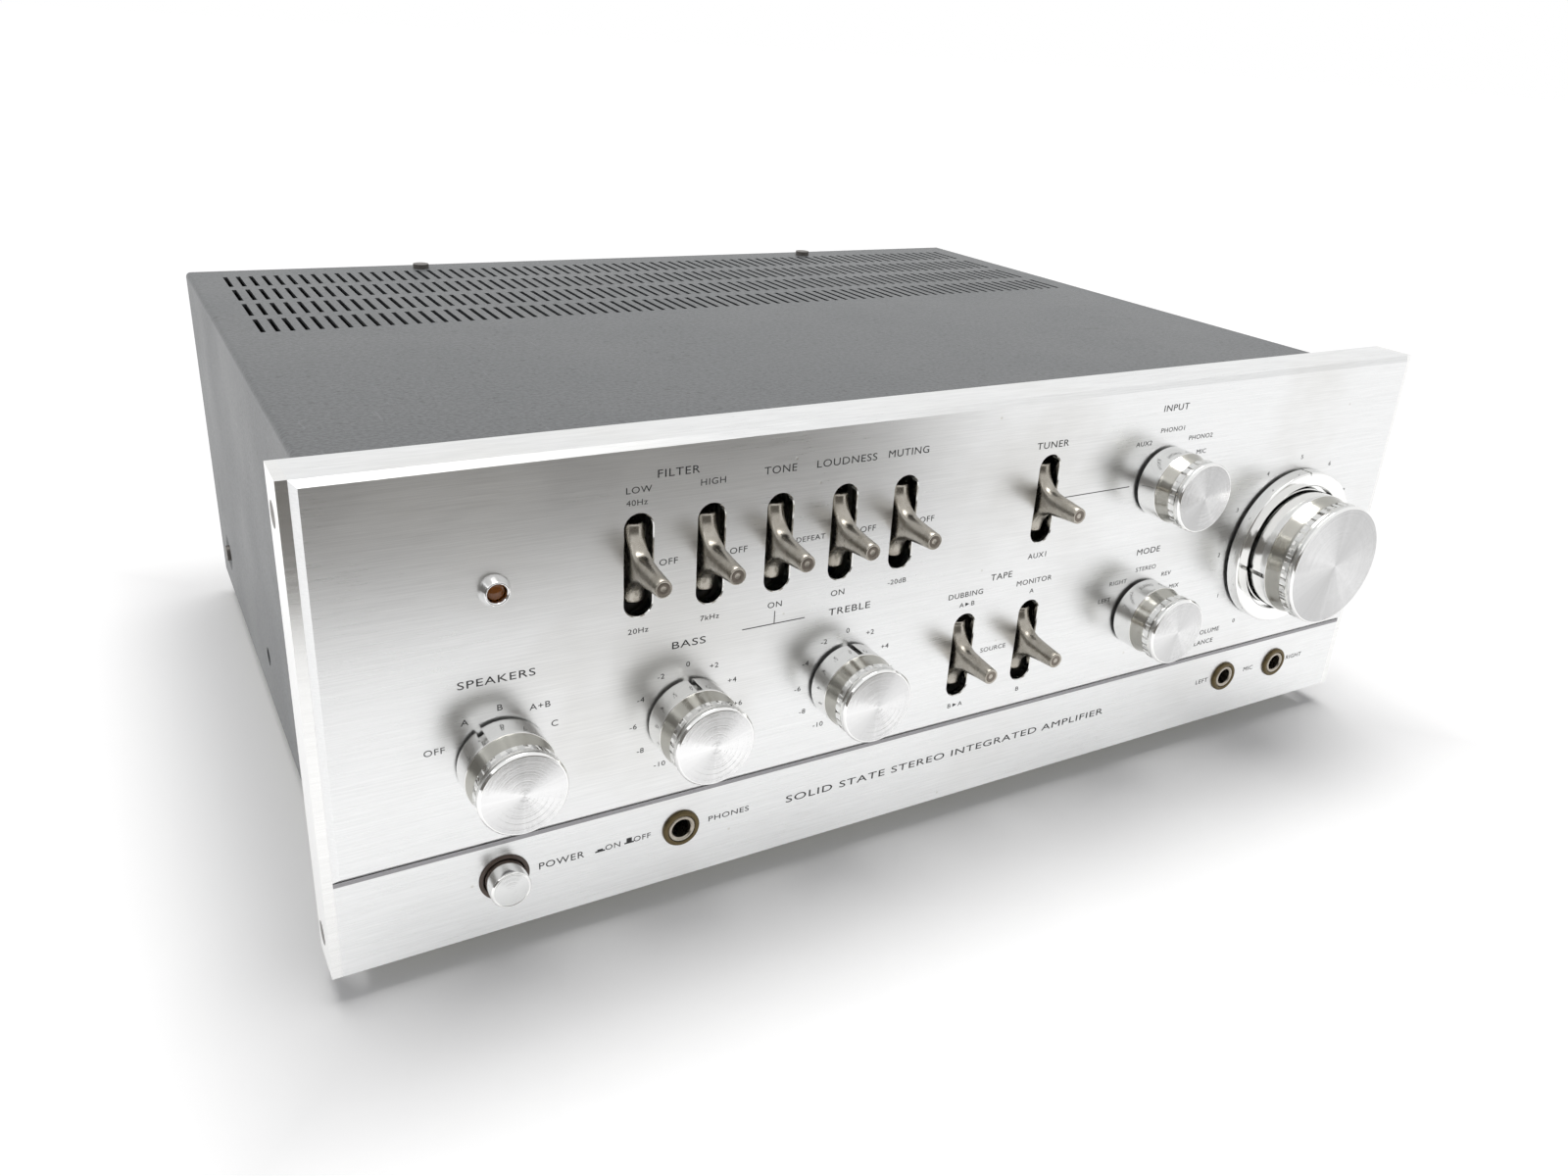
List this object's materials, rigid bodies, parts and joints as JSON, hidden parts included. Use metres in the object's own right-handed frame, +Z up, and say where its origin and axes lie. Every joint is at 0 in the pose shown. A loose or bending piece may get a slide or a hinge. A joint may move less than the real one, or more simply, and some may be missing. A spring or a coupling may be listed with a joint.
{
  "type": "integrated amplifier",
  "caption": "Stereo integrated amplifier: folded steel case, aluminium front with turned knobs, flip levers, sockets, lamp and push button.",
  "frame": {"origin": "bottom centre of the bounding box, on the surface the feet stand on", "axes": "+Z up, front panel faces -Y, +X to the right seen from the front"},
  "size_m": [0.43, 0.343, 0.1603],
  "materials": {
    "brushed_panel": "horizontally brushed and clear anodised",
    "cap_aluminium": "satin aluminium",
    "turned_aluminium": "turned, bright rims and a spun face",
    "lever_metal": "satin nickel, slightly brown with age",
    "cover_paint": "grey satin paint with fine texture",
    "rear_paint": "dark grey satin paint",
    "plated_steel": "zinc plated",
    "dark_screw": "blackened steel",
    "shaft_brass": "machined",
    "black_plastic": "moulded",
    "foot_rubber": "moulded",
    "switch_resin": "laminated resin",
    "jack_metal": "aged olive brown plating",
    "brown_plastic": "dark brown",
    "lamp_chrome": "polished",
    "amber_glass": "amber jewel",
    "bulb_glass": "small clear bulb",
    "transformer_iron": "varnished laminations",
    "capacitor_sleeve": "blue sleeve",
    "black_aluminium": "black anodised",
    "board_resin": "phenolic board",
    "terminal_nickel": "nickel plated"
  },
  "bodies": {
    "root": {"chassis_tray": "plated_steel", "front_subpanel": "plated_steel", "rear_panel": "rear_paint", "top_cover": "cover_paint", "front_panel_upper": "brushed_panel", "front_panel_lower": "brushed_panel", "end_cap_left": "cap_aluminium", "end_cap_right": "cap_aluminium", "cap_screws": "dark_screw", "cover_screws": "dark_screw", "chassis_screws": "plated_steel", "board_standoffs": "plated_steel", "feet": "foot_rubber", "lever_switches": "plated_steel", "rotary_switches": "switch_resin", "tone_controls": "plated_steel", "volume_control": "plated_steel", "power_bushing": "brown_plastic", "power_switch": "black_plastic", "phones_jack": "jack_metal", "mic_jacks": "jack_metal", "lamp_bezel": "lamp_chrome", "lamp_jewel": "amber_glass", "lamp_bulb": "bulb_glass", "power_transformer": "transformer_iron", "filter_capacitors": "capacitor_sleeve", "heat_sink": "black_aluminium", "output_transistors": "plated_steel", "power_amp_board": "board_resin", "preamp_board": "board_resin", "tone_board": "board_resin", "speaker_terminals": "black_plastic", "phono_sockets": "terminal_nickel", "ac_outlets": "black_plastic", "fuse_holder": "black_plastic", "ground_terminal": "terminal_nickel", "cord_gland": "black_plastic"},
    "speakers": {"speakers_knob": "turned_aluminium", "speakers_shaft": "shaft_brass"},
    "bass": {"bass_knob": "turned_aluminium", "bass_shaft": "shaft_brass"},
    "treble": {"treble_knob": "turned_aluminium", "treble_shaft": "shaft_brass"},
    "input": {"input_knob": "turned_aluminium", "input_shaft": "shaft_brass"},
    "mode": {"mode_knob": "turned_aluminium", "mode_shaft": "shaft_brass"},
    "volume": {"volume_knob": "turned_aluminium", "volume_shaft": "shaft_brass"},
    "balance": {"balance_ring": "turned_aluminium", "balance_shaft": "shaft_brass"},
    "low_filter": {"low_filter_lever": "lever_metal"},
    "high_filter": {"high_filter_lever": "lever_metal"},
    "tone": {"tone_lever": "lever_metal"},
    "loudness": {"loudness_lever": "lever_metal"},
    "muting": {"muting_lever": "lever_metal"},
    "tuner": {"tuner_lever": "lever_metal"},
    "dubbing": {"dubbing_lever": "lever_metal"},
    "monitor": {"monitor_lever": "lever_metal"},
    "power": {"power_button": "turned_aluminium"}
  },
  "joints": [
    {"name": "speakers_turn", "type": "hinge", "parent": "root", "child": "speakers", "pos_m": [-0.1643, -0.14605, 0.07171], "axis": [0, 1, 0], "range_deg": [-30, 90]},
    {"name": "bass_turn", "type": "hinge", "parent": "root", "child": "bass", "pos_m": [-0.10652, -0.14605, 0.07171], "axis": [0, 1, 0], "range_deg": [-150, 150]},
    {"name": "treble_turn", "type": "hinge", "parent": "root", "child": "treble", "pos_m": [-0.04971, -0.14605, 0.07171], "axis": [0, 1, 0], "range_deg": [-150, 150]},
    {"name": "input_turn", "type": "hinge", "parent": "root", "child": "input", "pos_m": [0.08222, -0.14605, 0.12399], "axis": [0, 1, 0], "range_deg": [-90, 0]},
    {"name": "mode_turn", "type": "hinge", "parent": "root", "child": "mode", "pos_m": [0.08222, -0.14605, 0.07171], "axis": [0, 1, 0], "range_deg": [-120, 0]},
    {"name": "volume_turn", "type": "hinge", "parent": "root", "child": "volume", "pos_m": [0.1585, -0.14605, 0.08757], "axis": [0, 1, 0], "range_deg": [-46, 252]},
    {"name": "balance_turn", "type": "hinge", "parent": "root", "child": "balance", "pos_m": [0.1585, -0.14605, 0.08757], "axis": [0, 1, 0], "range_deg": [-140, 140]},
    {"name": "low_filter_flip", "type": "hinge", "parent": "root", "child": "low_filter", "pos_m": [-0.12279, -0.12405, 0.12399], "axis": [1, 0, 0], "range_deg": [-18, 18]},
    {"name": "high_filter_flip", "type": "hinge", "parent": "root", "child": "high_filter", "pos_m": [-0.1001, -0.12405, 0.12399], "axis": [1, 0, 0], "range_deg": [0, 18]},
    {"name": "tone_flip", "type": "hinge", "parent": "root", "child": "tone", "pos_m": [-0.0774, -0.12405, 0.12399], "axis": [1, 0, 0], "range_deg": [0, 18]},
    {"name": "loudness_flip", "type": "hinge", "parent": "root", "child": "loudness", "pos_m": [-0.05471, -0.12405, 0.12399], "axis": [1, 0, 0], "range_deg": [0, 18]},
    {"name": "muting_flip", "type": "hinge", "parent": "root", "child": "muting", "pos_m": [-0.03202, -0.12405, 0.12399], "axis": [1, 0, 0], "range_deg": [0, 18]},
    {"name": "tuner_flip", "type": "hinge", "parent": "root", "child": "tuner", "pos_m": [0.02696, -0.12405, 0.12399], "axis": [1, 0, 0], "range_deg": [-18, 18]},
    {"name": "dubbing_flip", "type": "hinge", "parent": "root", "child": "dubbing", "pos_m": [-0.00161, -0.12405, 0.07012], "axis": [1, 0, 0], "range_deg": [-18, 18]},
    {"name": "monitor_flip", "type": "hinge", "parent": "root", "child": "monitor", "pos_m": [0.02696, -0.12405, 0.07012], "axis": [1, 0, 0], "range_deg": [-18, 18]},
    {"name": "power_press", "type": "slide", "parent": "root", "child": "power", "axis": [0, 1, 0], "range_m": [0, 0.004], "stiffness_N_per_m": 300}
  ]
}
